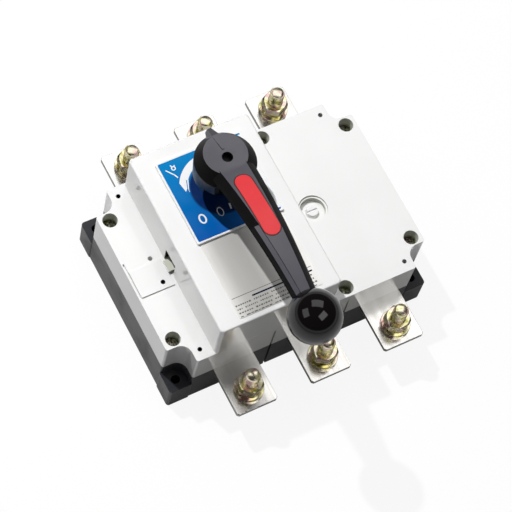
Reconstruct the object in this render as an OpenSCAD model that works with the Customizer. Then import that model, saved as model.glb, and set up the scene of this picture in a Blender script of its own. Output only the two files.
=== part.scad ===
// Manual changeover switch: three poles with bolted terminal bars at the front and back,
// a mechanism box with a dial, and a rotary handle that ends in a ball.
// Millimetres, +Z up. The origin is the centre of the base's underside, +Y is the back,
// and the handle points to -Y at rest.

/* [Poles] */
// Distance between neighbouring poles
pole_pitch = 65; // [60:1:72]
// Width of a terminal bar
bar_w = 35; // [30:1:40]
// Thickness of a terminal bar
bar_t = 4; // [3:0.5:6]
// Length of a terminal bar outside the base
bar_reach = 41; // [36:1:50]
// Length of a terminal bar held inside the base
bar_grip = 22; // [16:1:30]
// Distance from a bar's end to its bolt
bolt_inset = 16.4; // [14:0.2:20]
// Chamfer on the bar's outer corners
bar_chamfer = 1.5; // [0.5:0.5:3]

/* [Base] */
// Width of the base
base_w = 228; // [222:1:240]
// Depth of the base
base_d = 158; // [150:1:170]
// Height of the joint between base and cover
deck_h = 38; // [34:0.5:42]
// Height of the mounting ears in the base's corners
ear_h = 26.5; // [22:0.5:30]
// Width of a corner recess, along X
ear_w = 18; // [16:0.5:20]
// Depth of a corner recess, along Y
ear_d = 18; // [16:0.5:20]
// Radius in the back of a corner recess
ear_r = 9; // [7:0.5:11]
// Radius of the ears' own corners
ear_corner = 2.5; // [1:0.5:4]
// Rounding where a corner recess meets the outer walls
tip_r = 2; // [1:0.5:3]
// Distance from a mounting hole to the base's sides
fix_edge = 9; // [8:0.5:10]
// Diameter of a mounting hole
fix_dia = 7; // [6:0.5:8]
// How far the walls between the ears stand back from the ears
wall_setback = 0.7; // [0.5:0.1:1.5]

/* [Cover] */
// Height of the cover's top
cover_top = 71.5; // [68:0.5:76]
// Width of a phase barrier slot
slot_w = 1.6; // [1.2:0.2:3]
// Depth of a phase barrier slot
slot_d = 9; // [6:1:14]
// Height of a phase barrier slot's upper end
slot_top = 65; // [58:0.5:67]
// Diameter of a cover screw's well
well_dia = 12; // [10:0.5:13]
// Depth of a cover screw's well
well_depth = 14; // [8:1:20]
// Diameter of the round recess
sight_dia = 23.5; // [20:0.5:28]
// Depth of the round recess
sight_depth = 6; // [4:0.5:10]

/* [Mechanism box] */
// Width of the mechanism box
box_w = 102.5; // [98:0.5:108]
// Height of the box's top
box_top = 111.5; // [106:0.5:118]
// Rounding of the box's upright edges
box_r = 3; // [1:0.5:5]
// Distance from the box's left wall to the operating shaft
shaft_in = 52.75; // [50:0.25:55]
// Distance from the base's middle to the operating shaft, along Y
shaft_back = 29; // [24:0.5:34]
// Size of the window in the box's left wall
window = 15.5; // [12:0.5:18]

/* [Dial] */
// Side of the square dial plate
dial_w = 73.5; // [66:0.5:80]
// Height of the dial plate's rim above the box
dial_t = 2.4; // [1.6:0.2:4]
// Width of the dial plate's rim
rim_w = 1.6; // [1:0.2:3]

/* [Handle] */
// Diameter of the operating shaft
shaft_dia = 12; // [10:0.5:14]
// Height of the head's top face above the box
head_lift = 52; // [46:0.5:60]
// Height of the head's cone, from the top of its rim to the top face
head_t = 8.5; // [6:0.5:12]
// Diameter of the head's top face
head_top_dia = 34; // [30:0.5:38]
// Diameter of the head's rim
head_rim_dia = 47.8; // [44:0.2:54]
// Height of the head's skirt below its rim
skirt_h = 19; // [14:0.5:22]
// Diameter of the skirt's lower edge
skirt_dia = 45; // [40:0.5:50]
// Thickness of the skirt's wall
skirt_t = 2.6; // [2:0.2:4]
// Diameter of the boss around the shaft, inside the skirt
boss_dia = 20; // [17:0.5:24]
// Diameter of the hole in the head's top
head_hole_dia = 8.5; // [6:0.5:9.5]
// Distance from the shaft to the pointer's tip
pointer_reach = 29; // [27:0.5:34]
// Distance from the shaft to the middle of the ball
lever_reach = 139.5; // [120:0.5:160]
// Diameter of the ball
ball_dia = 41.5; // [36:0.5:48]
// How far the arm arches above the head
arm_rise = 10.5; // [6:0.5:14]
// Thickness of the arm
arm_t = 6; // [5:0.5:8]
// Width of the inlay in the arm
inlay_w = 13.4; // [10:0.2:15]
// Length of the inlay in the arm
inlay_len = 56; // [40:1:60]

/* [Bolts] */
// Diameter of a terminal bolt's thread
bolt_dia = 12; // [11.5:0.5:12.5]
// Diameter at which the threads of bolt and nut meet
pitch_dia = 10.8; // [9:0.1:11]
// Width across the flats of a terminal nut
nut_af = 18.5; // [17:0.5:21]
// Height of a terminal nut
nut_h = 9.5; // [8:0.5:11]
// Diameter of a flat washer
washer_dia = 24; // [22:0.5:28]
// Thickness of a flat washer
washer_t = 2.5; // [1.5:0.5:3]
// Outer diameter of a spring washer
spring_dia = 20; // [18:0.5:21]
// Thickness of a spring washer
spring_t = 3; // [2:0.5:4]
// Height of a bolt's tip above its bar
bolt_rise = 29; // [24:0.5:34]

/* [Hidden] */

FRONT = -1;
BACK = 1;
// How far a cut reaches past the face it opens
eps = 0.5;
// Clearance between a fixed piece and its seat
fit_gap = 0.2;
// Clearance around a turning or passing round piece
turn_gap = 0.5;

// Poles: the first stands half a pitch left of the shaft, and the row is centred
// on the base but for the offset
row_offset = 4.5;
pole_x = [for (i = [-1, 0, 1]) row_offset + i * pole_pitch];
slot_x = [for (i = [0, 1]) (pole_x[i] + pole_x[i + 1]) / 2];
// The ears reach a little past their recesses
ear_len = ear_w + 2;
bar_end_y = base_d / 2 + bar_reach;
bolt_y = bar_end_y - bolt_inset;
bar_len = bar_grip + bar_reach;

// Operating shaft and the box around it
shaft_x = slot_x[0];
shaft_y = shaft_back;
box_x0 = shaft_x - shaft_in;
box_x1 = box_x0 + box_w;
box_x = (box_x0 + box_x1) / 2;
box_d = base_d - 2 * wall_setback;
shaft_hole_dia = shaft_dia + 2 * turn_gap;

// Cover screws: one behind each corner recess, and two beside the box's right wall
corner_screw_x = base_w / 2 - 9.6;
corner_screw_y = base_d / 2 - ear_d - 7;
mid_screw_y = base_d / 2 - 8.5;
screw_spots = concat(
    [for (x = [-1, 1], y = [-1, 1]) [x * corner_screw_x, y * corner_screw_y]],
    [for (y = [-1, 1]) [slot_x[1], y * mid_screw_y]]);
well_z = cover_top - well_depth;
screw_head_dia = well_dia - 1;
screw_head_h = 5;
screw_slot_w = 1.6;
screw_slot_len = 7;
screw_slot_depth = 1.5;

// Small holes in the cover
vent_dia = 3.7;
vent_depth = 8;
vent_x = base_w / 2 - ear_w - 6.4;
vent_y = base_d / 2 - 9;

// Round recess in the cover, right of the box, with a step round its wall
sight_from_box = 23.35;
sight_x = box_x1 + sight_from_box;
sight_y = -1;
sight_step = 1.5;
sight_step_z = cover_top - 1.5;
plug_dia = 11;
plug_h = 3;
plug_slot_w = 1.5;

// Side plate, between the base's left edge and the box
side_edge = 3;
side_gap = 2.25;
side_x0 = -base_w / 2 + side_edge;
side_w = box_x0 - side_gap - side_x0;
side_d = 23.5;
side_y = -3;
side_sunk = 2;
side_proud = 1.2;
side_pin_gap = 9.75;
side_pin_x = box_x0 - side_pin_gap;
side_pin_y = -9.4;
slit_w = 1.2;
slit_len = 8;
// Window in the box's left wall, and the tongue of the side plate that reaches in
window_y = 0.75;
window_depth = 9;
tongue_w = 10;
tongue_t = 3;
tongue_in = 5;

// Rating plate, from the dial plate to the box's front edge
rating_w = 70;
rating_t = 0.4;
rating_gap = 0.5;
rating_front = 4.5;

dial_floor = dial_t - 0.6;
dial_top = box_top + dial_t;

// Handle. Distances along the arm are counted from the shaft's axis
handle_top = box_top + head_lift;
rim_z = handle_top - head_t;
rim_t = 2;
skirt_z = rim_z - skirt_h;
// The rim and the top face are set back from the shaft's axis
rim_back = 1;
top_back = 3;
head_edge = 1;
hole_floor = 6;
// The skirt is open towards the arm, and its lower edge is raised beside the opening
skirt_front = 15.5;
raised_front = 8;
raised_by = 6;
ball_y = shaft_y - lever_reach;
ball_z = handle_top - 2.4;
arm_start = 8;
arm_end = lever_reach - ball_dia / 2 + 4;
arm_peak = 80;
step_at = 62;
arm_steps = 12;
arm_root_top_w = 22.6;
arm_root_foot_w = 35.8;
top_taper = 0.062;
foot_taper = 0.067;
// Half the width of the arm's top face and of its underside, at a distance s
function top_half(s) = arm_root_top_w / 2 - top_taper * s;
function foot_half(s) = arm_root_foot_w / 2 - foot_taper * s;
// Height of the arm's top face at a distance s: an arch that starts on the head
function arch(s) = handle_top + arm_rise * (1 - pow((s - arm_peak) / (arm_peak - arm_start), 2));
ledge_w = 3.6;
ledge_drop = 0.9;
ledge_slope = 0.7;
flank_bulge = 0.5;
inlay_start = 18.5;
inlay_sunk = 1;
inlay_proud = 0.6;

// Heights of the pieces on a terminal bolt
bar_top = deck_h;
bar_under = bar_top - bar_t;
spring_z = bar_top + washer_t;
nut_z = spring_z + spring_t;
bolt_head_h = 7.5;
bolt_tip_z = bar_top + bolt_rise;
tip_chamfer = 1.5;
bolt_hole_dia = bolt_dia + 2 * turn_gap;
hex_dia = nut_af / cos(30);
thread_gap = 0.05;
nut_chamfer = 1;

// A rectangle with round corners, centred on the origin
module round_rect(w, d, r) {
    square([w - 2 * r, d], center = true);
    square([w, d - 2 * r], center = true);
    for (x = [-1, 1], y = [-1, 1])
        translate([x * (w / 2 - r), y * (d / 2 - r)]) circle(r = r, $fn = 48);
}

// A wedge that takes the sharp corner off a wall: the material lies towards (dx, dy)
module corner_wedge(dx, dy, r) {
    difference() {
        translate([dx * r / 2 - dx * eps / 2, dy * r / 2 - dy * eps / 2])
            square([r + eps, r + eps], center = true);
        translate([dx * r, dy * r]) circle(r = r, $fn = 48);
    }
}

// Plan of the walls above the ears: a rectangle with a scooped recess in each corner
module walls_plan() {
    w = base_w - 2 * wall_setback;
    d = base_d - 2 * wall_setback;
    difference() {
        square([w, d], center = true);
        for (x = [-1, 1], y = [-1, 1]) {
            translate([x * base_w / 2, y * base_d / 2]) round_rect(2 * ear_w, 2 * ear_d, ear_r);
            translate([x * (base_w / 2 - ear_w), y * d / 2]) corner_wedge(-x, -y, tip_r);
            translate([x * w / 2, y * (base_d / 2 - ear_d)]) corner_wedge(-x, -y, tip_r);
        }
    }
}

module slots(z0, z1) {
    for (x = slot_x, y = [-1, 1])
        translate([x - slot_w / 2, y * (base_d - slot_d) / 2 - slot_d / 2 - eps, z0])
            cube([slot_w, slot_d + 2 * eps, z1 - z0]);
}

module base() {
    color("#3b3f44")
        difference() {
            union() {
                linear_extrude(deck_h) walls_plan();
                for (x = [-1, 1], y = [-1, 1])
                    translate([x * (base_w - ear_len) / 2, y * (base_d - ear_len) / 2, 0])
                        linear_extrude(ear_h) round_rect(ear_len, ear_len, ear_corner);
            }
            for (x = [-1, 1], y = [-1, 1])
                translate([x * (base_w / 2 - fix_edge), y * (base_d / 2 - fix_edge), -eps])
                    cylinder(d = fix_dia, h = ear_h + 2 * eps, $fn = 48);
            for (x = pole_x, y = [-1, 1])
                translate([x - bar_w / 2, y * (base_d / 2 - bar_grip / 2 + eps) - bar_grip / 2 - eps,
                        bar_under])
                    cube([bar_w, bar_grip + 2 * eps, bar_t + eps]);
            slots(-eps, deck_h + eps);
        }
}

module cover() {
    color("#eef0ee")
        difference() {
            translate([0, 0, deck_h]) linear_extrude(cover_top - deck_h) walls_plan();
            for (s = screw_spots)
                translate([s[0], s[1], well_z]) cylinder(d = well_dia, h = well_depth + eps, $fn = 64);
            for (x = [-1, 1], y = [-1, 1])
                translate([x * vent_x, y * vent_y, cover_top - vent_depth])
                    cylinder(d = vent_dia, h = vent_depth + eps, $fn = 32);
            translate([side_pin_x, -side_pin_y + 3.2, cover_top - vent_depth])
                cylinder(d = vent_dia, h = vent_depth + eps, $fn = 32);
            translate([sight_x, sight_y, cover_top - sight_depth])
                cylinder(d = sight_dia - 2 * sight_step, h = sight_depth + eps, $fn = 96);
            translate([sight_x, sight_y, sight_step_z])
                cylinder(d = sight_dia, h = cover_top - sight_step_z + eps, $fn = 96);
            translate([side_x0 - fit_gap, side_y - side_d / 2 - fit_gap, cover_top - side_sunk])
                cube([side_w + 2 * fit_gap, side_d + 2 * fit_gap, side_sunk + eps]);
            translate([side_x0 - slit_w, side_y - side_d / 2 - fit_gap, cover_top - side_sunk])
                cube([slit_w, side_d + slit_len, side_sunk + eps]);
            slots(deck_h - eps, slot_top);
        }
}

module mechanism_box() {
    color("#f4f5f3")
        difference() {
            translate([box_x, 0, cover_top])
                linear_extrude(box_top - cover_top) round_rect(box_w, box_d, box_r);
            translate([shaft_x, shaft_y, cover_top - eps])
                cylinder(d = shaft_hole_dia, h = box_top - cover_top + 2 * eps, $fn = 64);
            translate([box_x0 - eps, window_y - window / 2, cover_top - eps])
                cube([window_depth + eps, window, window + eps]);
        }
}

module cover_screws() {
    color("#6e6f55")
        for (s = screw_spots)
            translate([s[0], s[1], well_z])
                difference() {
                    cylinder(d = screw_head_dia, h = screw_head_h, $fn = 48);
                    for (a = [0, 90])
                        rotate(a) translate([0, 0, screw_head_h])
                            cube([screw_slot_len, screw_slot_w, 2 * screw_slot_depth], center = true);
                }
}

module side_plate() {
    color("#f4f5f3")
        difference() {
            union() {
                translate([side_x0, side_y - side_d / 2, cover_top - side_sunk])
                    cube([side_w, side_d, side_sunk + side_proud]);
                translate([side_x0 + side_w - eps, window_y - tongue_w / 2, cover_top + fit_gap])
                    cube([box_x0 + tongue_in - side_x0 - side_w + eps, tongue_w, tongue_t]);
            }
            translate([side_pin_x, side_pin_y, cover_top - side_sunk + 0.6])
                cylinder(d = vent_dia, h = side_sunk + side_proud, $fn = 32);
        }
}

module sight_plug() {
    color("#e6e8e4")
        translate([sight_x, sight_y, cover_top - sight_depth])
            difference() {
                rotate_extrude($fn = 64)
                    polygon([[0, 0], [plug_dia / 2, 0], [plug_dia / 2 - 1, plug_h], [0, plug_h]]);
                translate([0, 0, plug_h]) cube([plug_dia, plug_slot_w, 2], center = true);
            }
}

module dial_frame() {
    color("white")
        translate([shaft_x, shaft_y, box_top])
            difference() {
                linear_extrude(dial_t) round_rect(dial_w, dial_w, 1.5);
                translate([0, 0, dial_floor])
                    linear_extrude(dial_t) round_rect(dial_w - 2 * rim_w, dial_w - 2 * rim_w, 1);
                translate([0, 0, -eps]) cylinder(d = shaft_hole_dia, h = dial_t + 2 * eps, $fn = 64);
            }
}

module dial_face() {
    color("#0a6fc0")
        translate([shaft_x, shaft_y, box_top + dial_floor])
            difference() {
                linear_extrude(dial_t - dial_floor)
                    round_rect(dial_w - 2 * rim_w, dial_w - 2 * rim_w, 1);
                translate([0, 0, -eps]) cylinder(d = shaft_hole_dia, h = dial_t, $fn = 64);
            }
}

module rating_plate() {
    y0 = -box_d / 2 + rating_front;
    y1 = shaft_y - dial_w / 2 - rating_gap;
    color("#c9cac4")
        translate([shaft_x, (y0 + y1) / 2, box_top])
            linear_extrude(rating_t) round_rect(rating_w, y1 - y0, 1);
}

module shaft() {
    color("#8f9296")
        translate([shaft_x, shaft_y, cover_top + fit_gap])
            cylinder(d = shaft_dia, h = handle_top - hole_floor - cover_top - fit_gap, $fn = 64);
}

// The head: a cone over a skirt that is open towards the arm, a boss inside it that holds the
// shaft, and a pointer to the back
module handle_head() {
    r = head_rim_dia / 2;
    color("#2a2b2d")
        difference() {
            union() {
                translate([shaft_x, shaft_y, 0]) {
                    hull() {
                        translate([0, rim_back, rim_z - rim_t])
                            cylinder(d = head_rim_dia, h = rim_t, $fn = 64);
                        translate([0, top_back, handle_top - head_edge])
                            cylinder(d = head_top_dia, h = head_edge, $fn = 64);
                    }
                    translate([0, rim_back, 0])
                        rotate_extrude($fn = 96)
                            polygon([[skirt_dia / 2 - skirt_t, skirt_z], [skirt_dia / 2, skirt_z],
                                [r, rim_z - rim_t], [r - skirt_t, rim_z - rim_t + eps]]);
                    translate([0, 0, skirt_z]) cylinder(d = boss_dia, h = skirt_h, $fn = 64);
                    pointer();
                }
            }
            translate([shaft_x, shaft_y, skirt_z - eps])
                cylinder(d = shaft_dia, h = handle_top - hole_floor - skirt_z + eps, $fn = 64);
            translate([shaft_x, shaft_y, skirt_z])
                cylinder(d = head_hole_dia, h = handle_top - skirt_z + 2, $fn = 64);
            translate([shaft_x - r, shaft_y - skirt_front - r, skirt_z - eps])
                cube([2 * r, r, arch(skirt_front) - arm_t / 2 - skirt_z + eps]);
            translate([shaft_x - r, shaft_y - raised_front - r, skirt_z - eps])
                difference() {
                    cube([2 * r, r, raised_by + eps]);
                    translate([r, raised_front + r, -eps])
                        cylinder(d = boss_dia + 2, h = raised_by + 3 * eps, $fn = 64);
                }
            arm_body(arm_start);
        }
}

// A ridge that runs from the head's top face down to its tip
module pointer() {
    ridge_start = 7;
    tip_z = rim_z + 1;
    hull() {
        translate([-0.8, ridge_start, handle_top - 1]) cube([1.6, 1, 1.7]);
        translate([-2.8, top_back + head_top_dia / 2 - 1, handle_top - 1]) cube([5.6, 1, 1.2]);
        translate([-1.5, pointer_reach - 1, tip_z]) cube([3, 1, 2]);
        translate([-2.5, pointer_reach - 1.5, rim_z - rim_t]) cube([5, 1.5, 1]);
        translate([-5, rim_back + head_rim_dia / 2 - 5, rim_z - rim_t]) cube([10, 1, 1]);
    }
}

// A point of the arm's right flank at a distance s: t goes from 0 at the top to 1 at the foot
function flank(s, t) = [
    top_half(s) + (foot_half(s) - top_half(s)) * t + flank_bulge * 4 * t * (1 - t),
    arch(s) - arm_t * t];
// Cross-section of the arm at a distance s, from the left foot over the top to the right foot.
// With a ledge, the left flank starts with a shallow step
function arm_section(s, ledge) = let (a = top_half(s), z = arch(s)) [
    mirrored(flank(s, 1)),
    ledge ? [-a - ledge_w, z - ledge_drop - ledge_slope] : mirrored(flank(s, 2 / 3)),
    ledge ? [-a, z - ledge_drop] : mirrored(flank(s, 1 / 3)),
    [-a, z],
    [a, z],
    flank(s, 1 / 3),
    flank(s, 2 / 3),
    flank(s, 1)];
function mirrored(p) = [-p[0], p[1]];

// A solid through cross-sections at the distances in list
module arm_loft(list, ledge) {
    n = 8;
    pts = [for (s = list) for (p = arm_section(s, ledge)) [shaft_x + p[0], shaft_y - s, p[1]]];
    last = len(list) - 1;
    sides = [for (k = [0 : last - 1], i = [0 : n - 1], half = [0, 1]) let (j = (i + 1) % n)
        half == 0 ? [k * n + i, k * n + j, (k + 1) * n + j]
                  : [k * n + i, (k + 1) * n + j, (k + 1) * n + i]];
    polyhedron(points = pts, convexity = 4, faces = concat(sides,
        [[for (i = [n - 1 : -1 : 0]) i]],
        [[for (i = [0 : n - 1]) last * n + i]]));
}

module arm_body(start) {
    upper = [for (i = [0 : arm_steps]) start + i * (step_at - start) / arm_steps];
    lower = [for (i = [0 : arm_steps]) step_at + i * (arm_end - step_at) / arm_steps];
    arm_loft(upper, false);
    arm_loft(lower, true);
}

module handle_arm() {
    color("#2a2b2d")
        difference() {
            arm_body(arm_start);
            inlay_body();
            translate([shaft_x, ball_y, ball_z]) sphere(d = ball_dia, $fn = 96);
        }
}

// The inlay: a strip with round ends that follows the arm's arch
module inlay_body() {
    r = inlay_w / 2;
    stations = [for (i = [0 : 8]) inlay_start + i * inlay_len / 8];
    intersection() {
        translate([shaft_x, shaft_y - inlay_start, 0])
            linear_extrude(2 * handle_top)
                union() {
                    translate([-r, r - inlay_len]) square([inlay_w, inlay_len - 2 * r]);
                    for (y = [-r, r - inlay_len]) translate([0, y]) circle(r = r, $fn = 64);
                }
        translate([shaft_x - inlay_w, shaft_y, 0])
            rotate([90, 0, 90])
                linear_extrude(2 * inlay_w)
                    polygon(concat([for (s = stations) [-s, arch(s) - inlay_sunk]],
                        [for (i = [8 : -1 : 0]) [-stations[i], arch(stations[i]) + inlay_proud]]));
    }
}

module handle_inlay() {
    color("#e0404a") inlay_body();
}

module handle_ball() {
    color("#18181a")
        translate([shaft_x, ball_y, ball_z]) sphere(d = ball_dia, $fn = 96);
}

// Plan of a terminal bar, from its inner end at y = 0 to its outer end
module bar_plan() {
    x = bar_w / 2;
    c = bar_chamfer;
    polygon([[-x, 0], [x, 0], [x, bar_len - c], [x - c, bar_len], [c - x, bar_len], [-x, bar_len - c]]);
}

module bar(x, side) {
    color("#d9d3cd")
        difference() {
            translate([x, side * (base_d / 2 - bar_grip), bar_under])
                rotate(side == BACK ? 0 : 180) linear_extrude(bar_t) bar_plan();
            translate([x, side * bolt_y, bar_under - eps])
                cylinder(d = bolt_hole_dia, h = bar_t + 2 * eps, $fn = 64);
        }
}

module bolt(x, side) {
    color("#c9b15a")
        translate([x, side * bolt_y, 0]) {
            translate([0, 0, bar_under - bolt_head_h]) cylinder(d = hex_dia, h = bolt_head_h, $fn = 6);
            translate([0, 0, bar_under - bolt_head_h / 2])
                cylinder(d = pitch_dia, h = nut_z + nut_h - bar_under + bolt_head_h / 2, $fn = 48);
            translate([0, 0, nut_z + nut_h])
                cylinder(d = bolt_dia, h = bolt_tip_z - tip_chamfer - nut_z - nut_h, $fn = 48);
            translate([0, 0, bolt_tip_z - tip_chamfer])
                cylinder(d1 = bolt_dia, d2 = bolt_dia - 2 * tip_chamfer, h = tip_chamfer, $fn = 48);
        }
}

module rings(side, z, dia, h) {
    for (x = pole_x)
        translate([x, side * bolt_y, z])
            difference() {
                cylinder(d = dia, h = h, $fn = 64);
                translate([0, 0, -eps]) cylinder(d = bolt_hole_dia, h = h + 2 * eps, $fn = 64);
            }
}

module washers(side) {
    color("#cbb35c") rings(side, bar_top, washer_dia, washer_t);
}

module spring_washers(side) {
    color("#b59c48") rings(side, spring_z, spring_dia, spring_t);
}

// A hexagon nut whose corners are turned off at both ends
module nut(x, side) {
    color("#c9b15a")
        translate([x, side * bolt_y, nut_z])
            difference() {
                intersection() {
                    cylinder(d = hex_dia, h = nut_h, $fn = 6);
                    rotate_extrude($fn = 96)
                        polygon([[0, 0], [hex_dia / 2 - nut_chamfer, 0], [hex_dia / 2, nut_chamfer / 2],
                            [hex_dia / 2, nut_h - nut_chamfer / 2], [hex_dia / 2 - nut_chamfer, nut_h],
                            [0, nut_h]]);
                }
                translate([0, 0, -eps])
                    cylinder(d = pitch_dia + 2 * thread_gap, h = nut_h + 2 * eps, $fn = 64);
            }
}

base();
cover();
mechanism_box();
cover_screws();
side_plate();
sight_plug();
dial_frame();
dial_face();
rating_plate();
shaft();
handle_head();
handle_arm();
handle_inlay();
handle_ball();
bar(pole_x[0], FRONT);  // front_bar_1
bar(pole_x[1], FRONT);  // front_bar_2
bar(pole_x[2], FRONT);  // front_bar_3
bar(pole_x[0], BACK);  // back_bar_1
bar(pole_x[1], BACK);  // back_bar_2
bar(pole_x[2], BACK);  // back_bar_3
bolt(pole_x[0], FRONT);  // front_bolt_1
bolt(pole_x[1], FRONT);  // front_bolt_2
bolt(pole_x[2], FRONT);  // front_bolt_3
bolt(pole_x[0], BACK);  // back_bolt_1
bolt(pole_x[1], BACK);  // back_bolt_2
bolt(pole_x[2], BACK);  // back_bolt_3
washers(FRONT);  // front_washers
washers(BACK);  // back_washers
spring_washers(FRONT);  // front_spring_washers
spring_washers(BACK);  // back_spring_washers
nut(pole_x[0], FRONT);  // front_nut_1
nut(pole_x[1], FRONT);  // front_nut_2
nut(pole_x[2], FRONT);  // front_nut_3
nut(pole_x[0], BACK);  // back_nut_1
nut(pole_x[1], BACK);  // back_nut_2
nut(pole_x[2], BACK);  // back_nut_3
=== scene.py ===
"""A manual changeover switch: moulded housings, a dial, a rotary ball handle and bolted terminals."""

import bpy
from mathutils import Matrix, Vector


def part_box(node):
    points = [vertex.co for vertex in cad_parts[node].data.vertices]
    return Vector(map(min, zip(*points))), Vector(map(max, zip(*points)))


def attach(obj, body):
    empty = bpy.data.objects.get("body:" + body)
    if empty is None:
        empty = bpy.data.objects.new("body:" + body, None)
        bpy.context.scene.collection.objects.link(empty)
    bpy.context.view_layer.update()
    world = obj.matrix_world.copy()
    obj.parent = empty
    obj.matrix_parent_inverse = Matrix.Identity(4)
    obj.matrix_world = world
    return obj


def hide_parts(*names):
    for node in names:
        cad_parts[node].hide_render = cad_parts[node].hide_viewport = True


bl_info = {
    "name": "Changeover switch",
    "version": (1, 0, 0),
    "blender": (4, 5, 0),
    "location": "View3D > Sidebar > Changeover Switch",
    "description": "Gives the changeover switch its finishes, edges, threads and prints",
    "category": "Object",
}

from math import cos, pi, radians, sin, sqrt

import bmesh
import bpy
from bpy.props import FloatProperty, FloatVectorProperty, IntProperty, PointerProperty
from mathutils import Matrix, Vector

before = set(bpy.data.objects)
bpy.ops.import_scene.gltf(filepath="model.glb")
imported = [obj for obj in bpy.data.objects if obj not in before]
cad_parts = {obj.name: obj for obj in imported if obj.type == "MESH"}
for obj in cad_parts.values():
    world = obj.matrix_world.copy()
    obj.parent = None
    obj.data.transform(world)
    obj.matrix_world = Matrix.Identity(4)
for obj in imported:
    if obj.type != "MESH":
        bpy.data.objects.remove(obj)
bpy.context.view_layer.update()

MM = 0.001
WELD = 2e-6
ROOT = "switch"
HANDLE = "handle"
POLES = (1, 2, 3)
SIDES = ("front", "back")


def centre(node):
    """The middle of a CAD node's box."""
    low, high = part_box(node)
    return (Vector(low) + Vector(high)) / 2


def low(node):
    """The lowest corner of a CAD node's box."""
    return Vector(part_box(node)[0])


def high(node):
    """The highest corner of a CAD node's box."""
    return Vector(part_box(node)[1])


SHAFT = centre("shaft")
COVER_TOP = high("cover").z
BOX_TOP = high("mechanism_box").z
DIAL_TOP = high("dial_frame").z
POLE_X = [centre(f"front_bar_{pole}").x for pole in POLES]
BOLT_Y = centre("back_bolt_1").y
SCREW_R = 5.5 * MM
CORNER_WELL = (high("cover_screws").x - SCREW_R, 54.0 * MM)
MIDDLE_WELL = (37.0 * MM, high("cover_screws").y - SCREW_R)
RECESS = (45.1 * MM, 1.0 * MM)
# Radius of the navy round the hub: partly a printed disc, partly painted shade under the handle.
HUB_PRINT_AND_SHADE_R = 24.2 * MM
EAR_HOLE = (high("base").x - 9.0 * MM, high("base").y - 9.0 * MM)


# Settings


def number(name, description, default, **limits):
    """A property that holds a number."""
    return FloatProperty(name=name, description=description, default=default, **limits)


def turn(name, description, degrees):
    """A property that holds an angle."""
    return number(name, description, radians(degrees), unit="ROTATION")


def length(name, description, default):
    """A property that holds a length in metres."""
    return number(name, description, default, unit="LENGTH", precision=5)


def colour(name, description, default):
    """A property that holds a colour."""
    return FloatVectorProperty(name=name, description=description, default=default, subtype="COLOR", size=3)


class HousingSettings(bpy.types.PropertyGroup):
    """Edges and colours of the moulded housings."""

    outer_edge: length("Outer edge", "Radius of the cover's and the box's outer edges", 1.1 * MM)
    box_edge: length("Box edge", "Radius of the mechanism box's top edges", 1.3 * MM)
    small_edge: length("Small edge", "Radius of the edges of holes, steps and slots", 0.35 * MM)
    base_edge: length("Base edge", "Radius of the base's edges", 0.6 * MM)
    ivory: colour("Ivory", "Colour of the cover and the mechanism box", (0.83, 0.83, 0.825))
    charcoal: colour("Charcoal", "Colour of the base", (0.03, 0.031, 0.036))


class DialSettings(bpy.types.PropertyGroup):
    """Colours and marks of the dial and the rating plate."""

    # The deep blue paints shade on the dial's front. The navy is the rating plate's print and the disc round the hub,
    # which is partly print and partly painted shade.
    blue: colour("Blue", "Colour of the dial's face at the back", (0.003, 0.21, 0.52))
    shaded_front_blue: colour("Deep blue", "Colour of the dial's face at the front", (0.002, 0.095, 0.4))
    navy: colour("Navy", "Colour of the printed disc round the hub and of the rating plate's print",
                 (0.002, 0.02, 0.1))
    white: colour("White", "Colour of the dial's rim and marks", (0.86, 0.87, 0.88))
    silver: colour("Silver", "Colour of the rating plate", (0.62, 0.61, 0.59))
    figure_h: length("Figure height", "Height of the dial's figures", 8.5 * MM)
    print_t: length("Print thickness", "Thickness of a printed mark", 0.05 * MM)
    sector_r: length("Sector radius", "Outer radius of the white sectors beside the hub", 30.5 * MM)


class HandleSettings(bpy.types.PropertyGroup):
    """Edges and colours of the rotary handle."""

    edge: length("Edge", "Radius of the handle's edges", 0.5 * MM)
    seam: length("Seam", "Half the width of the dark seam round the inlay", 0.45 * MM)
    # The handle is one black plastic in painted tones: its upper faces are painted lighter as painted sheen, its
    # flanks and skirt darker as painted shade. The flank tone also draws the seam round the inlay.
    black: colour("Black", "Colour of the handle's upper faces", (0.075, 0.073, 0.088))
    flank_black: colour("Flank black", "Colour of the handle's flanks", (0.004, 0.0035, 0.004))
    skirt: colour("Skirt", "Colour of the handle's skirt", (0.012, 0.0105, 0.008))
    red: colour("Red", "Colour of the inlay", (0.67, 0.036, 0.043))
    ball_black: colour("Ball black", "Colour of the ball", (0.003, 0.002, 0.0025))


class TerminalSettings(bpy.types.PropertyGroup):
    """Sizes and colours of the bars and their hardware."""

    thread_pitch: length("Thread pitch", "Pitch of the bolts' threads", 1.75 * MM)
    thread_depth: length("Thread depth", "Depth of the bolts' threads", 0.5 * MM)
    bar_edge: length("Bar edge", "Radius of the bars' edges", 0.35 * MM)
    nut_turn: turn("Nut turn", "Turn of the nuts", -8.0)
    nut_steps: IntProperty(name="Nut steps", description="Steps round a nut", default=96, min=48, max=192)
    tin: colour("Tin", "Colour of the tinned bars", (0.93, 0.91, 0.88))
    zinc: colour("Zinc", "Colour of the yellow passivated hardware", (0.94, 0.88, 0.68))


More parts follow.
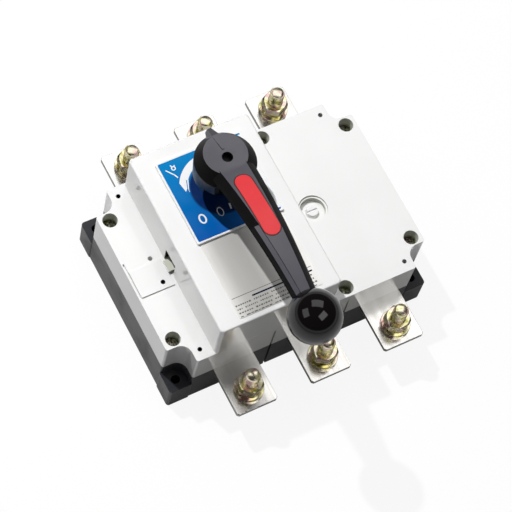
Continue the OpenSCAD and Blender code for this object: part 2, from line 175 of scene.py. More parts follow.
class StudioSettings(bpy.types.PropertyGroup):
    """Camera and lamps."""

    azimuth: turn("Azimuth", "Bearing of the camera", -43.665)
    elevation: turn("Elevation", "Height of the camera", 63.934)
    roll: turn("Roll", "Turn of the camera", 17.864)
    distance: length("Distance", "Distance from the camera to its target", 1.7967)
    lens: number("Lens", "Focal length on a 36 mm sensor, in mm", 162.0)
    target: FloatVectorProperty(name="Target", description="Point at the middle of the view",
                                default=(-0.00751, -0.01107, 0.05), subtype="XYZ", unit="LENGTH", precision=5)
    key_power: number("Key power", "Power of the key lamp", 43.0)
    box_level: number("Soft box level", "Radiance of the soft boxes", 1.25)
    world_level: number("World level", "Strength of the dark part of the world", 0.05)
    floor_glow: number("Floor glow", "Share of plain white in the floor that is seen", 0.9, min=0.0, max=1.0,
                       subtype="FACTOR")
    floor_mirrored: number("Floor in reflections", "The same share where it is mirrored", 0.1, min=0.0, max=1.0,
                           subtype="FACTOR")


# Nodes


def feed(tree, node, inputs):
    """Gives a node's inputs their values, or the sockets that feed them."""
    for name, value in inputs.items():
        if isinstance(value, bpy.types.NodeSocket):
            tree.links.new(value, node.inputs[name])
        else:
            node.inputs[name].default_value = value


def add_node(tree, kind, inputs=None, **options):
    """Adds a node with its options and its inputs."""
    node = tree.nodes.new(kind)
    for name, value in options.items():
        setattr(node, name, value)
    feed(tree, node, inputs or {})
    return node


def maths(tree, operation, *values):
    """The result of a calculation with numbers and sockets."""
    return add_node(tree, "ShaderNodeMath", dict(enumerate(values)), operation=operation).outputs[0]


def place(tree):
    """The Object coordinates."""
    return tree.nodes.new("ShaderNodeTexCoord").outputs["Object"]


def new_group(name, kind, inputs, outputs):
    """A node group with named sockets. Returns the tree, the values it is given and its output node."""
    tree = bpy.data.node_groups.new(name, kind)
    for label, socket_type, default in inputs:
        socket = tree.interface.new_socket(name=label, in_out="INPUT", socket_type=socket_type)
        if default is not None:
            socket.default_value = default
    for label, socket_type in outputs:
        tree.interface.new_socket(name=label, in_out="OUTPUT", socket_type=socket_type)
    return tree, tree.nodes.new("NodeGroupInput").outputs, tree.nodes.new("NodeGroupOutput")


def shader_group(name, inputs, outputs):
    """A shader node group whose inputs are numbers and whose outputs are numbers."""
    return new_group(name, "ShaderNodeTree",
                     [(label, "NodeSocketFloat", value) for label, value in inputs.items()],
                     [(label, "NodeSocketFloat") for label in outputs])


def object_noise(tree, scale, detail=2.0, stretch=None):
    """The value of a noise on Object coordinates; stretch scales them along the three axes first."""
    vector = place(tree)
    if stretch is not None:
        vector = add_node(tree, "ShaderNodeMapping", {"Vector": vector, "Scale": stretch}).outputs["Vector"]
    noise = add_node(tree, "ShaderNodeTexNoise", {"Vector": vector, "Scale": scale, "Detail": detail})
    return noise.outputs["Fac"]


def mapped(tree, value, start, end, span=(0.0, 1.0), smooth=False):
    """A number that goes from start to end as value crosses the span, and is held there."""
    node = add_node(tree, "ShaderNodeMapRange",
                    {"Value": value, "From Min": span[0], "From Max": span[1], "To Min": start, "To Max": end},
                    interpolation_type="SMOOTHSTEP" if smooth else "LINEAR")
    return node.outputs["Result"]


def sharpened(tree, value, lowest, highest):
    """value mapped from lowest..highest to 0..1 with soft ends."""
    return mapped(tree, value, 0.0, 1.0, (lowest, highest), True)


def grain_group():
    """Moulded grain: a fine height, and a slow mottle of the colour."""
    tree, given, sink = shader_group("moulded_grain", {"Grain": 2600.0, "Mottle": 22.0}, ("Height", "Mottle"))
    mottle = object_noise(tree, given["Mottle"], 3.0)
    feed(tree, sink, {"Height": object_noise(tree, given["Grain"]),
                      "Mottle": sharpened(tree, mottle, 0.35, 0.65)})
    return tree


def seam_group():
    """A fine seam round a long slot with round ends that lies along Y: 1 on the line, 0 away from it."""
    tree, given, sink = shader_group("slot_seam", {"Middle": 0.0, "Front": 0.0, "Back": 1.0, "Half Width": 0.01,
                                                    "Line": 0.0005}, ("Seam",))
    parts = add_node(tree, "ShaderNodeSeparateXYZ", {"Vector": place(tree)})
    across = maths(tree, "SUBTRACT", parts.outputs["X"], given["Middle"])
    held = maths(tree, "MAXIMUM", parts.outputs["Y"], given["Front"])
    held = maths(tree, "MINIMUM", held, given["Back"])
    lengthways = maths(tree, "SUBTRACT", parts.outputs["Y"], held)
    squares = [maths(tree, "MULTIPLY", value, value) for value in (across, lengthways)]
    reach = maths(tree, "SQRT", maths(tree, "ADD", *squares))
    off = maths(tree, "ABSOLUTE", maths(tree, "SUBTRACT", reach, given["Half Width"]))
    feed(tree, sink, {"Seam": maths(tree, "LESS_THAN", off, given["Line"])})
    return tree


def marks_group():
    """Handling marks: faint smudges and hairline scratches, as a mask for the roughness."""
    tree, given, sink = shader_group("handling_marks", {"Smudge": 35.0, "Scratch": 900.0}, ("Marks",))
    smudge = sharpened(tree, object_noise(tree, given["Smudge"], 4.0), 0.45, 0.75)
    scratch = sharpened(tree, object_noise(tree, given["Scratch"], 1.0, (1.0, 0.03, 1.0)), 0.66, 0.72)
    feed(tree, sink, {"Marks": maths(tree, "MULTIPLY_ADD", scratch, 0.35, smudge)})
    return tree


def brushed_group():
    """Brushed metal: streaks along the bars, as a mask and as a height."""
    tree, given, sink = shader_group("brushed_streaks", {"Fine": 2200.0, "Broad": 260.0}, ("Streaks", "Height"))
    fine = object_noise(tree, given["Fine"], 2.0, (1.0, 0.02, 1.0))
    broad = sharpened(tree, object_noise(tree, given["Broad"], 3.0, (1.0, 0.12, 1.0)), 0.3, 0.7)
    feed(tree, sink, {"Streaks": maths(tree, "MULTIPLY", fine, broad), "Height": fine})
    return tree


GROUPS = {"seam": seam_group, "grain": grain_group, "marks": marks_group, "brushed": brushed_group}
built_groups = {}


def effect(material, name, **values):
    """Places a shared effect in a material, with its own values."""
    if name not in built_groups:
        built_groups[name] = GROUPS[name]()
    node = material.node_tree.nodes.new("ShaderNodeGroup")
    node.node_tree = built_groups[name]
    feed(material.node_tree, node, values)
    return node


# Materials


def new_material(name):
    """An empty material. Returns it, its tree and its Principled shader."""
    material = bpy.data.materials.new(name)
    material.use_nodes = True
    tree = material.node_tree
    return material, tree, tree.nodes["Principled BSDF"]


def blend(tree, factor, first, second):
    """A mix of two colours, each given as a colour or as a socket."""
    ends = [end if isinstance(end, bpy.types.NodeSocket) else (*end, 1.0) for end in (first, second)]
    node = add_node(tree, "ShaderNodeMix", {"Factor": factor, "A": ends[0], "B": ends[1]}, data_type="RGBA")
    return node.outputs["Result"]


def ramp(tree, factor, stops):
    """The colour of a ramp through (position, colour) stops."""
    node = add_node(tree, "ShaderNodeValToRGB", {"Fac": factor})
    elements = node.color_ramp.elements
    for end, (position, rgb) in zip((elements[0], elements[1]), (stops[0], stops[-1])):
        end.position = position
        end.color = (*rgb, 1.0)
    for position, rgb in stops[1:-1]:
        elements.new(position).color = (*rgb, 1.0)
    return node.outputs["Color"]


def bumped(tree, height, distance, strength=1.0):
    """A normal raised by a height."""
    node = add_node(tree, "ShaderNodeBump", {"Height": height, "Distance": distance, "Strength": strength})
    return node.outputs["Normal"]


def shaded(rgb, factor):
    """A colour made darker or lighter."""
    return tuple(channel * factor for channel in rgb)


def plastic(name, tone, roughness, grain_mm, specular, spread, coat):
    """Moulded plastic with a fine grain, a faint mottle and handling marks."""
    rgb = shaded(getattr(settings(tone[0]), tone[1]), tone[2]) if isinstance(tone[0], str) else tone
    material, tree, shader = new_material(name)
    grain = effect(material, "grain", Mottle=22.0)
    marks = effect(material, "marks")
    feed(tree, shader, {
        "Base Color": blend(tree, grain.outputs["Mottle"], shaded(rgb, 1 - spread), rgb),
        "Roughness": mapped(tree, marks.outputs["Marks"], roughness, roughness + 0.12),
        "Normal": bumped(tree, grain.outputs["Height"], grain_mm * MM), "Specular IOR Level": specular,
        "Coat Weight": coat[0], "Coat Roughness": coat[1], "Coat IOR": coat[2]})
    return material


def along(tree, axis, start, end):
    """0 to 1 as an Object coordinate goes from start to end."""
    parts = add_node(tree, "ShaderNodeSeparateXYZ", {"Vector": place(tree)})
    return mapped(tree, parts.outputs[axis], 0.0, 1.0, (start, end))


def enamel(name, front, back, hub):
    """Printed enamel whose colour is painted darker at the front than at the back over the dial's depth, as painted
    shade, and painted deep navy round the hub, partly as a printed disc and partly as painted shade under the handle.
    """
    material, tree, shader = new_material(name)
    grain = effect(material, "grain", Mottle=60.0)
    marks = effect(material, "marks")
    # Painted shade: the blue darkens towards the front of the dial.
    lit = blend(tree, along(tree, "Y", low("dial_face").y, high("dial_face").y), front, back)
    # Painted navy round the hub: partly a printed disc, partly painted shade under the handle.
    reach = add_node(tree, "ShaderNodeVectorMath", {0: place(tree), 1: (SHAFT.x, SHAFT.y, DIAL_TOP)},
                     operation="DISTANCE")
    inner = mapped(tree, reach.outputs["Value"], 1.0, 0.0, (21.5 * MM, HUB_PRINT_AND_SHADE_R), True)
    deep = blend(tree, inner, lit, hub)
    worn = maths(tree, "MULTIPLY", grain.outputs["Mottle"], 0.008)
    feed(tree, shader, {
        "Base Color": blend(tree, worn, deep, (1.0, 1.0, 1.0)),
        "Roughness": mapped(tree, marks.outputs["Marks"], 0.22, 0.3),
        "Normal": bumped(tree, grain.outputs["Height"], 0.002 * MM), "Specular IOR Level": 0.03})
    return material


def satin_foil(name, rgb):
    """Satin silver foil: a painted sheen makes its colour rise to both ends of the plate as a painted reflection, with
    fine streaks across it.
    """
    material, tree, shader = new_material(name)
    brushed = effect(material, "brushed", Fine=1500.0)
    marks = effect(material, "marks", Smudge=60.0)
    across = along(tree, "X", low("rating_plate").x, high("rating_plate").x)
    # Painted reflection: the colour is lighter towards both ends of the plate and darker in its middle.
    sheen = ramp(tree, across, [(position, shaded(rgb, level)) for position, level in
                                ((0.0, 1.45), (0.16, 1.0), (0.4, 0.78), (0.62, 0.95), (0.8, 1.4), (1.0, 1.5))])
    faint = maths(tree, "MULTIPLY", brushed.outputs["Streaks"], 0.25)
    feed(tree, shader, {
        "Base Color": blend(tree, faint, sheen, shaded(rgb, 0.8)),
        "Roughness": mapped(tree, marks.outputs["Marks"], 0.42, 0.52),
        "Normal": bumped(tree, brushed.outputs["Height"], 0.002 * MM), "Metallic": 0.15})
    return material


def metal(name, rgb, dark, roughness):
    """Brushed metal whose colour and roughness vary along its streaks."""
    material, tree, shader = new_material(name)
    brushed = effect(material, "brushed")
    streaks = brushed.outputs["Streaks"]
    feed(tree, shader, {
        "Base Color": blend(tree, streaks, rgb, dark), "Metallic": 1.0,
        "Roughness": mapped(tree, streaks, roughness, roughness + 0.12),
        "Normal": bumped(tree, brushed.outputs["Height"], 0.004 * MM)})
    return material


def plating(name, rgb, roughness):
    """Yellow passivated zinc: gold that drifts to olive and rose."""
    material, tree, shader = new_material(name)
    marks = effect(material, "marks", Smudge=160.0)
    stops = ((0.34, (0.5, 0.5, 0.22)), (0.43, (0.95, 0.93, 0.7)), (0.52, (1.0, 1.0, 1.0)), (0.66, (0.85, 0.62, 0.75)))
    tints = [(position, [level * channel for level, channel in zip(levels, rgb)]) for position, levels in stops]
    feed(tree, shader, {
        "Base Color": ramp(tree, object_noise(tree, 130.0), tints), "Metallic": 1.0,
        "Roughness": mapped(tree, marks.outputs["Marks"], roughness, roughness + 0.15)})
    return material


made_materials = {}


def finish(name):
    """The material of that name, made when it is first asked for."""
    if name not in made_materials:
        made_materials[name] = plastic(*PLASTICS[name]) if name in PLASTICS else MATERIALS[name]()
    return made_materials[name]


def settings(kind):
    """The settings of that kind, from the scene."""
    return getattr(bpy.context.scene, "switch_" + kind)


MATERIALS = {
    "blue": lambda: enamel("dial_blue", settings("dial").shaded_front_blue, settings("dial").blue, settings("dial").navy),
    "silver": lambda: satin_foil("rating_silver", settings("dial").silver),
    "tin": lambda: metal("tinned_copper", settings("terminals").tin, (0.8, 0.77, 0.72), 0.17),
    # Darker tin for the bars' sides, as painted shade.
    "edge_tin": lambda: metal("tinned_copper_edge", (0.3, 0.29, 0.28), (0.2, 0.19, 0.18), 0.35),
    # The shaft's steel is painted nearly black, as painted shade under the head and in its hole.
    "steel": lambda: metal("turned_steel", (0.05, 0.05, 0.05), (0.02, 0.02, 0.02), 0.5),
    "zinc": lambda: plating("yellow_zinc", settings("terminals").zinc, 0.16),
    # Zinc painted dark olive: painted shade for the screw heads deep in the wells.
    "olive": lambda: plating("olive_zinc", (0.27, 0.285, 0.21), 0.25),
}

# Name, colour (a setting and a factor, or its value), roughness, depth of the grain in mm, specular level, spread of
# the mottle, and coat (weight, roughness, index of refraction).
NO_COAT = (0.0, 0.05, 1.5)
PLASTICS = {
    "ivory": ("ivory_housing", ("housing", "ivory", 1.0), 0.3, 0.003, 0.5, 0.02, (1.0, 0.04, 1.5)),
    "charcoal": ("charcoal_base", ("housing", "charcoal", 1.0), 0.34, 0.012, 0.27, 0.12, NO_COAT),
    # One black plastic painted in four tones: lighter on the upper faces as painted sheen, darker on the flanks, the
    # skirt and the pointer's top as painted shade.
    "black": ("handle_black", ("handle", "black", 1.0), 0.38, 0.01, 0.9, 0.1, NO_COAT),
    "flank": ("handle_flank_black", ("handle", "flank_black", 1.0), 0.5, 0.01, 0.15, 0.1, NO_COAT),
    "skirt": ("handle_skirt_black", ("handle", "skirt", 1.0), 0.3, 0.01, 0.12, 0.1, NO_COAT),
    "wedge": ("handle_wedge", ("handle", "black", 0.6), 0.42, 0.01, 0.6, 0.1, NO_COAT),
    "red": ("handle_red", ("handle", "red", 1.0), 0.36, 0.006, 0.5, 0.06, NO_COAT),
    "ball": ("ball_black", ("handle", "ball_black", 1.0), 0.3, 0.0, 0.0, 0.05, (1.0, 0.07, 1.55)),
    "navy": ("rating_navy", ("dial", "navy", 0.35), 0.25, 0.002, 0.12, 0.1, NO_COAT),
    "white": ("dial_white", ("dial", "white", 1.0), 0.25, 0.002, 0.5, 0.02, (0.6, 0.05, 1.5)),
    "ink": ("rating_ink", (0.12, 0.12, 0.105), 0.35, 0.002, 0.5, 0.2, NO_COAT),
    # Painted shade: darker plastics for wells, recess walls, holes, the window and gaps, where little light reaches.
    "shade": ("ivory_shade", (0.6, 0.61, 0.53), 0.5, 0.003, 0.2, 0.1, NO_COAT),
    "pit": ("dark_pit", (0.006, 0.006, 0.007), 0.7, 0.01, 0.05, 0.2, NO_COAT),
    "gap": ("dark_gap", (0.02, 0.018, 0.014), 0.6, 0.01, 0.1, 0.2, NO_COAT),
}


# Meshes


def new_object(name, data):
    """An object with that data, in the scene."""
    thing = bpy.data.objects.new(name, data)
    bpy.context.scene.collection.objects.link(thing)
    return thing


def made_mesh(bm, name):
    """Turns a bmesh into a mesh and frees it."""
    mesh = bpy.data.meshes.new(name)
    bm.to_mesh(mesh)
    bm.free()
    return mesh


def new_piece(name, mesh, material):
    """An object at the origin that carries one material."""
    piece = new_object(name, mesh)
    mesh.materials.clear()
    mesh.materials.append(finish(material))
    return piece


def settled(piece):
    """Turns a piece's modifiers into its mesh."""
    graph = bpy.context.evaluated_depsgraph_get()
    mesh = bpy.data.meshes.new_from_object(piece.evaluated_get(graph), preserve_all_data_layers=True, depsgraph=graph)
    piece.modifiers.clear()
    old = piece.data
    piece.data = mesh
    bpy.data.meshes.remove(old)
    return piece


def smooth_by_angle(bm, degrees=32.0):
    """Shades a mesh smooth, but for the edges that turn further than the angle."""
    for face in bm.faces:
        face.smooth = True
    for edge in bm.edges:
        edge.smooth = edge.calc_face_angle(0.0) < radians(degrees)


def plain_copy(*nodes):
    """The meshes of some CAD nodes, joined into one shell with no inner walls, as a bmesh."""
    parts = []
    for node in nodes:
        bm = bmesh.new()
        bm.from_mesh(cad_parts[node].data)
        bmesh.ops.remove_doubles(bm, verts=bm.verts, dist=WELD)
        name = "copy_of_" + node
        parts.append(new_object(name, made_mesh(bm, name)))
    first = parts[0]
    for other in parts[1:]:
        union = first.modifiers.new("union", "BOOLEAN")
        union.operation = "UNION"
        union.solver = "EXACT"
        union.object = other
    if len(parts) > 1:
        settled(first)
    bm = bmesh.new()
    bm.from_mesh(first.data)
    for piece in parts:
        bpy.data.objects.remove(piece)
    bmesh.ops.remove_doubles(bm, verts=bm.verts, dist=WELD)
    bmesh.ops.dissolve_limit(bm, angle_limit=radians(0.6), verts=bm.verts, edges=bm.edges)
    return bm


def rounded_copy(nodes, name, material, radius_at, body=ROOT, segments=3, crease=28.0):
    """A copy of CAD nodes as one piece with rounded edges, in their place. radius_at gives the radius at a point."""
    nodes = (nodes,) if isinstance(nodes, str) else nodes
    bm = plain_copy(*nodes)
    weight = bm.edges.layers.float.new("bevel_weight_edge")
    radii = {edge: radius_at((edge.verts[0].co + edge.verts[1].co) / 2)
             for edge in bm.edges if edge.calc_face_angle(0.0) > radians(crease)}
    widest = max(radii.values())
    for edge, radius in radii.items():
        edge[weight] = radius / widest
    smooth_by_angle(bm, 180.0)
    piece = new_piece(name, made_mesh(bm, name), material)
    bevel = piece.modifiers.new("rounded edges", "BEVEL")
    bevel.limit_method = "WEIGHT"
    bevel.width = widest
    bevel.segments = segments
    weighted = piece.modifiers.new("weighted normals", "WEIGHTED_NORMAL")
    weighted.mode = "FACE_AREA"
    weighted.weight = 80
    settled(piece)
    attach(piece, body)
    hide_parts(*nodes)
    return piece


def paint(piece, material, where):
    """Gives a material to the faces of a piece for which where(middle, normal) is true."""
    slot = len(piece.data.materials)
    piece.data.materials.append(finish(material))
    for face in piece.data.polygons:
        if where(face.center, face.normal):
            face.material_index = slot


def near(at, spot, reach):
    """True within a reach, in millimetres, of a spot or of its mirror images."""
    return sqrt((abs(at.x) - spot[0]) ** 2 + (abs(at.y) - spot[1]) ** 2) < reach * MM


def circle(bm, radius, height, steps, turned_by=0.0):
    """A level ring of vertices round the vertical, or one vertex where the radius is 0."""
    if radius < 1e-7:
        return [bm.verts.new((0, 0, height))]
    angles = [2 * pi * i / steps + turned_by for i in range(steps)]
    return [bm.verts.new((radius * cos(angle), radius * sin(angle), height)) for angle in angles]


def bridge(bm, rows):
    """Faces between each row of vertices and the next. A row of one vertex closes the shape to a point."""
    for first, second in zip(rows, rows[1:]):
        steps = max(len(first), len(second))
        for i in range(steps):
            j = (i + 1) % steps
            corners = dict.fromkeys((first[i % len(first)], first[j % len(first)],
                                     second[j % len(second)], second[i % len(second)]))
            if len(corners) > 2:
                bm.faces.new(list(corners))


def lathe(bm, profile, steps=64):
    """Turns a profile of (radius, height) points about the vertical."""
    bridge(bm, [circle(bm, radius, height, steps) for radius, height in profile])


def closed_mesh(bm, name, degrees=32.0):
    """Ends a mesh: normals outwards, smooth by angle."""
    bmesh.ops.recalc_face_normals(bm, faces=bm.faces)
    smooth_by_angle(bm, degrees)
    return made_mesh(bm, name)


def slab(bm, outline, bottom, top):
    """A flat plate over an outline of (x, y) points."""
    lower, upper = ([bm.verts.new((x, y, z)) for x, y in outline] for z in (bottom, top))
    bm.faces.new(list(reversed(lower)))
    bm.faces.new(upper)
    bridge(bm, [lower, upper])


def band(bm, inner, outer, bottom, top):
    """A flat ring between two outlines with the same number of points."""
    rows = [[bm.verts.new((x, y, z)) for x, y in line]
            for line, z in ((inner, bottom), (outer, bottom), (outer, top), (inner, top))]
    bridge(bm, rows + rows[:1])


def oval(x, y, half_w, half_h, steps=40):
    """The outline of an ellipse."""
    return [(x + half_w * cos(2 * pi * i / steps), y + half_h * sin(2 * pi * i / steps)) for i in range(steps)]


def rectangle(x, y, w, h):
    """The outline of a rectangle, from its centre."""
    return [(x - w / 2, y - h / 2), (x + w / 2, y - h / 2), (x + w / 2, y + h / 2), (x - w / 2, y + h / 2)]


def stroke(start, end, width):
    """The outline of a straight stroke between two points."""
    a = Vector(start)
    b = Vector(end)
    side = (b - a).normalized().orthogonal() * width / 2
    return [tuple(a - side), tuple(a + side), tuple(b + side), tuple(b - side)]


def turned(name, profile, material, steps=64):
    """A piece turned from a profile of (radius, height) points. A profile that ends where it starts gives a ring."""
    bm = bmesh.new()
    lathe(bm, profile, steps)
    bmesh.ops.remove_doubles(bm, verts=bm.verts, dist=1e-6)
    return new_piece(name, closed_mesh(bm, name), material)


def placed(piece, slot, *nodes):
    """Lets a piece ride on the switch and hides the CAD nodes that it stands for. The slot is not used."""
    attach(piece, ROOT)
    if nodes:
        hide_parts(*nodes)


def printed(bm, name, material, slot):
    """Makes a printed layer of a mesh."""
    placed(new_piece(name, closed_mesh(bm, name), material), slot)


# Geometry Nodes


def geometry_group(name, numbers):
    """A Geometry Nodes tree with a Geometry input and output, and inputs for the numbers and the material."""
    sockets = [("Geometry", "NodeSocketGeometry", None)]
    sockets += [(label, "NodeSocketFloat", default) for label, default in numbers.items()]
    sockets += [("Material", "NodeSocketMaterial", None)]
    return new_group(name, "GeometryNodeTree", sockets, [("Geometry", "NodeSocketGeometry")])


def ended(tree, geometry, given, sink):
    """Realizes the instances, sets the material and feeds the output."""
    real = add_node(tree, "GeometryNodeRealizeInstances", {"Geometry": geometry})
    painted = add_node(tree, "GeometryNodeSetMaterial",
                       {"Geometry": real.outputs["Geometry"], "Material": given["Material"]})
    tree.links.new(painted.outputs["Geometry"], sink.inputs["Geometry"])


def terminal_tree():
    """Repeats a piece on the terminals: two rows of three, the back row turned round."""
    tree, given, sink = geometry_group("terminal_rows", {
        "First pole": POLE_X[0], "Pole pitch": POLE_X[1] - POLE_X[0], "Row distance": BOLT_Y})
    rows = tree.nodes.new("GeometryNodeJoinGeometry")
    step = add_node(tree, "ShaderNodeCombineXYZ", {"X": given["Pole pitch"]})
    for factor, turned_by in ((-1.0, 0.0), (1.0, pi)):
        side = maths(tree, "MULTIPLY", given["Row distance"], factor)
        start = add_node(tree, "ShaderNodeCombineXYZ", {"X": given["First pole"], "Y": side})
        line = add_node(tree, "GeometryNodeMeshLine",
                        {"Count": len(POLES), "Start Location": start.outputs[0], "Offset": step.outputs[0]})
        copies = add_node(tree, "GeometryNodeInstanceOnPoints",
                          {"Points": line.outputs[0], "Instance": given["Geometry"],
                           "Rotation": (0.0, 0.0, turned_by)})
        tree.links.new(copies.outputs[0], rows.inputs[0])
    ended(tree, rows.outputs[0], given, sink)
    return tree


def well_tree():
    """Repeats a piece in the cover's six screw wells: four at the corners and two in the middle."""
    tree, given, sink = geometry_group("screw_wells", {
        "Corner X": 0.104, "Corner Y": 0.054, "Middle X": 0.037, "Middle Y": 0.0705})
    spots = tree.nodes.new("GeometryNodeJoinGeometry")
    for x, y in ((-1, -1), (1, -1), (-1, 1), (1, 1), (0, -1), (0, 1)):
        row = "Corner" if x else "Middle"
        spot = add_node(tree, "ShaderNodeCombineXYZ",
                        {"X": maths(tree, "MULTIPLY", given[row + " X"], float(x or 1)),
                         "Y": maths(tree, "MULTIPLY", given[row + " Y"], float(y))})
        turned_by = radians(23.0 + 41.0 * x + 67.0 * y)
        moved = add_node(tree, "GeometryNodeTransform",
                         {"Geometry": given["Geometry"], "Translation": spot.outputs[0],
                          "Rotation": (0.0, 0.0, turned_by)})
        tree.links.new(moved.outputs[0], spots.inputs[0])
    ended(tree, spots.outputs[0], given, sink)
    return tree


def thread_tree():
    """Winds a rounded thread round the vertical and joins it to the piece's own mesh."""
    tree, given, sink = geometry_group("bolt_thread", {
        "Radius": 0.006, "Depth": 0.001, "Turns": 8.0, "Height": 0.012, "Bottom": 0.0})
    half = maths(tree, "MULTIPLY", given["Depth"], 0.5)
    path_r = maths(tree, "SUBTRACT", given["Radius"], half)
    spiral = add_node(tree, "GeometryNodeCurveSpiral",
                      {"Resolution": 28, "Rotations": given["Turns"], "Start Radius": path_r,
                       "End Radius": path_r, "Height": given["Height"]})
    profile = add_node(tree, "GeometryNodeCurvePrimitiveCircle", {"Resolution": 6, "Radius": half})
    ridge = add_node(tree, "GeometryNodeCurveToMesh",
                     {"Curve": spiral.outputs[0], "Profile Curve": profile.outputs[0], "Fill Caps": True})
    lift = add_node(tree, "ShaderNodeCombineXYZ", {"Z": given["Bottom"]})
    raised = add_node(tree, "GeometryNodeTransform", {"Geometry": ridge.outputs[0], "Translation": lift.outputs[0]})
    smooth = add_node(tree, "GeometryNodeSetShadeSmooth", {"Geometry": raised.outputs[0]})
    joined = tree.nodes.new("GeometryNodeJoinGeometry")
    tree.links.new(given["Geometry"], joined.inputs[0])
    tree.links.new(smooth.outputs[0], joined.inputs[0])
    ended(tree, joined.outputs[0], given, sink)
    return tree


TREES = {"terminals": terminal_tree, "wells": well_tree, "thread": thread_tree}
built_trees = {}


def grown(piece, tree_name, material, **values):
    """Runs a tree on a piece and keeps the result as its mesh. Each value goes to the input of that name."""
    if tree_name not in built_trees:
        built_trees[tree_name] = TREES[tree_name]()
    tree = built_trees[tree_name]
    modifier = piece.modifiers.new(tree_name, "NODES")
    modifier.node_group = tree
    values["Material"] = finish(material)
    for socket in tree.interface.items_tree:
        if socket.in_out == "INPUT" and socket.name.replace(" ", "_") in values:
            modifier[socket.identifier] = values[socket.name.replace(" ", "_")]
    settled(piece)
    piece.data.materials.clear()
    piece.data.materials.append(finish(material))
    piece.data.polygons.foreach_set("material_index", [0] * len(piece.data.polygons))
    return piece


# Pieces


class SWITCH_OT_housing(bpy.types.Operator):
    """Base, cover, mechanism box, side plate and round recess"""

    bl_idname = "switch.housing"
    bl_label = "Housing"

    def execute(self, context):
        look = settings("housing")
        outer = high("cover")
        cover_low = low("cover").z
        box_left = low("mechanism_box").x
        skin = 0.3 * MM
        pin = Vector((-90.5, -9.4)) * MM
        pin_reach = 2.0 * MM
        window_y = 0.75 * MM
        window_reach = 8.0 * MM
        vent_hole = (outer.x - 24.4 * MM, 70.0 * MM)
        ear_reach, well_reach, recess_reach, vent_reach = 3.7, 6.3, 12.2, 2.1

        def cover_radius(point):
            outside = max(abs(point.x) / outer.x, abs(point.y) / outer.y) > 0.86
            holes = cover_low + skin < point.z < COVER_TOP - skin
            return look.outer_edge if outside and not holes else look.small_edge

        def box_radius(point):
            return look.box_edge if point.z > BOX_TOP - 0.1 * MM else look.small_edge

        def in_ear_hole(at, n):
            return abs(n.z) < 0.5 and near(at, EAR_HOLE, ear_reach)

        def in_well(at, n):
            well = near(at, CORNER_WELL, well_reach) or near(at, MIDDLE_WELL, well_reach)
            recess = near(at, RECESS, recess_reach) and at.x > 0 and abs(n.z) < 0.5
            return at.z < COVER_TOP - 2 * skin and (well or recess)

        def in_vent_hole(at, n):
            return at.z < COVER_TOP - skin and near(at, vent_hole, vent_reach)

        def in_window(at, n):
            return (box_left + skin < at.x < box_left + window_reach and abs(at.y - window_y) < window_reach and
                    at.z < BOX_TOP - window_reach)

        def in_pin_hole(at, n):
            return at.z < COVER_TOP + skin and (at.xy - pin).length < pin_reach

        # Painted shade: the walls of the wells and the recess, the side plate where it enters the window, and the
        # window are painted darker, and the holes near black.
        for node, finish_name, radius_at, paints in (
                ("base", "charcoal", lambda point: look.base_edge, (("pit", in_ear_hole),)),
                ("cover", "ivory", cover_radius, (("shade", in_well), ("pit", in_vent_hole))),
                ("mechanism_box", "ivory", box_radius, (("gap", in_window),)),
                ("side_plate", "ivory", lambda point: look.small_edge,
                 (("shade", lambda at, n: at.x > box_left - 1.5 * MM), ("pit", in_pin_hole))),
                ("sight_plug", "ivory", lambda point: look.small_edge, ())):
            piece = rounded_copy(node, node + "_moulding", finish_name, radius_at)
            for material, where in paints:
                paint(piece, material, where)
        return {"FINISHED"}


class SWITCH_OT_screws(bpy.types.Operator):
    """Cross-slotted screws at the bottom of the cover's wells"""

    bl_idname = "switch.screws"
    bl_label = "Cover screws"

    def execute(self, context):
        top = high("cover_screws").z
        bottom = low("cover_screws").z
        radius = 5.4 * MM
        cross_w = 1.5 * MM
        cross_len = 7.0 * MM
        profile = [(0, bottom), (radius, bottom), (radius, top - 1.4 * MM), (radius - 0.5 * MM, top - 0.7 * MM),
                   (radius - 1.6 * MM, top - 0.15 * MM), (radius - 3.0 * MM, top), (0, top)]
        # The heads' zinc is painted dark olive as painted shade at the bottom of the wells.
        head = turned("cover_screw_heads", profile, "olive", 48)
        cutter = bmesh.new()
        for outline in (rectangle(0, 0, cross_len, cross_w), rectangle(0, 0, cross_w, cross_len)):
            slab(cutter, outline, top - 1.6 * MM, top + 1.0 * MM)
        blade = new_piece("cross_cutter", closed_mesh(cutter, "cross_cutter"), "olive")
        cut = head.modifiers.new("cross", "BOOLEAN")
        cut.object = blade
        cut.use_self = True
        settled(head)
        bpy.data.objects.remove(blade)
        self.put(head, "olive", "cover_screws")
        # A dark ring round each head: painted shade in the gap between head and well.
        rim = radius + 0.45 * MM
        rim_top = bottom + 1.2 * MM
        ring = [(radius, bottom), (rim, bottom), (rim, rim_top), (radius, rim_top), (radius, bottom)]
        self.put(turned("cover_screw_gaps", ring, "gap", 48), "gap")
        return {"FINISHED"}

    def put(self, piece, material, *nodes):
        """Repeats a piece in the six wells."""
        grown(piece, "wells", material, Corner_X=CORNER_WELL[0], Corner_Y=CORNER_WELL[1],
              Middle_X=MIDDLE_WELL[0], Middle_Y=MIDDLE_WELL[1])
        placed(piece, "screw_steel", *nodes)


